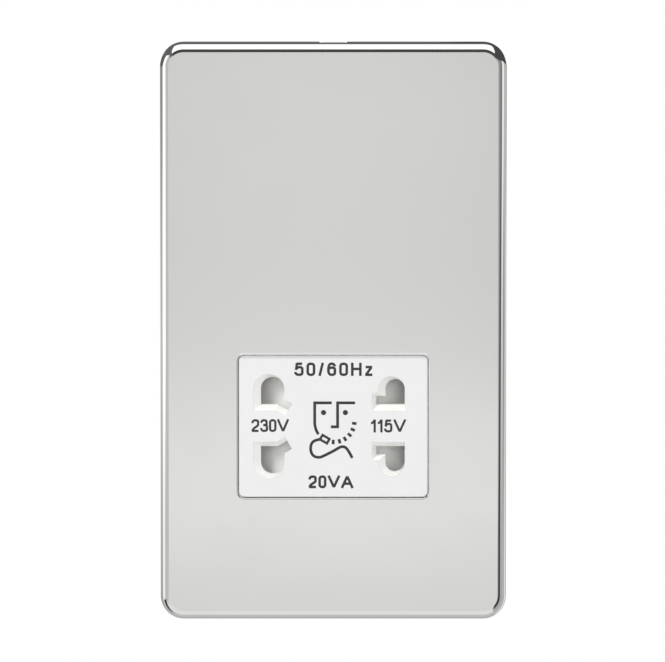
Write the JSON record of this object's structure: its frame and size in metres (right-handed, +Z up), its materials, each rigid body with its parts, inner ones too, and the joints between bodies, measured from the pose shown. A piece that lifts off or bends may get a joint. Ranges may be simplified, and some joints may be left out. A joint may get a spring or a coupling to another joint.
{
  "type": "shaver socket",
  "caption": "Dual-voltage shaver socket on a polished clip-on wall plate with rounded edges, with an interlocking shutter and an isolating transformer behind.",
  "frame": {"origin": "on the wall's face, midway between the two fixing holes", "axes": "+Z up, +X to the right seen from the front, the front faces -Y and the wall is at y = 0"},
  "size_m": [0.088, 0.0511, 0.147],
  "materials": {
    "chrome": "polished plate",
    "white_moulding": "white urea moulding, semi-gloss",
    "frame_moulding": "off-white moulding",
    "housing_moulding": "black moulding, fine spark texture",
    "carrier_moulding": "dark grey moulding",
    "spring_steel": "bright spring wire",
    "contact_bronze": "phosphor bronze strip",
    "terminal_brass": "turned and milled brass",
    "core_steel": "stacked silicon steel sheets",
    "clamp_steel": "zinc plated sheet",
    "winding_copper": "enamelled copper wire",
    "bobbin_moulding": "black nylon moulding",
    "coil_tape": "yellow polyester tape",
    "cutout_case": "plated can",
    "screw_steel": "zinc plated",
    "lead_brown": "brown sleeving",
    "lead_blue": "blue sleeving",
    "lead_red": "red sleeving",
    "lead_white": "white sleeving"
  },
  "bodies": {
    "socket": {"cover_plate": "chrome", "clip_frame": "frame_moulding", "mounting_frame": "frame_moulding", "socket_insert": "white_moulding", "shutter_spring_left": "spring_steel", "shutter_spring_right": "spring_steel", "contact_carrier": "carrier_moulding", "contact_common": "contact_bronze", "contact_230v": "contact_bronze", "contact_115v": "contact_bronze", "core_e_stack": "core_steel", "core_i_stack": "core_steel", "core_clamp": "clamp_steel", "bobbin": "bobbin_moulding", "primary_winding": "winding_copper", "secondary_winding": "winding_copper", "winding_tape": "coil_tape", "thermal_cutout": "cutout_case", "rear_housing": "housing_moulding", "terminal_block": "carrier_moulding", "terminal_live": "terminal_brass", "terminal_earth": "terminal_brass", "terminal_neutral": "terminal_brass", "terminal_screws": "screw_steel", "housing_screws": "screw_steel", "earth_strap": "contact_bronze", "lead_live": "lead_brown", "lead_neutral": "lead_blue", "lead_cutout": "lead_blue", "lead_common": "lead_white", "lead_230v": "lead_red", "lead_115v": "lead_red"},
    "shutter": {"shutter": "white_moulding"}
  },
  "joints": [
    {"name": "shutter_slide", "type": "slide", "parent": "socket", "child": "shutter", "axis": [1, 0, 0], "range_m": [-0.009, 0.009], "stiffness_N_per_m": 300, "deforming": ["shutter_spring_left", "shutter_spring_right"]}
  ]
}
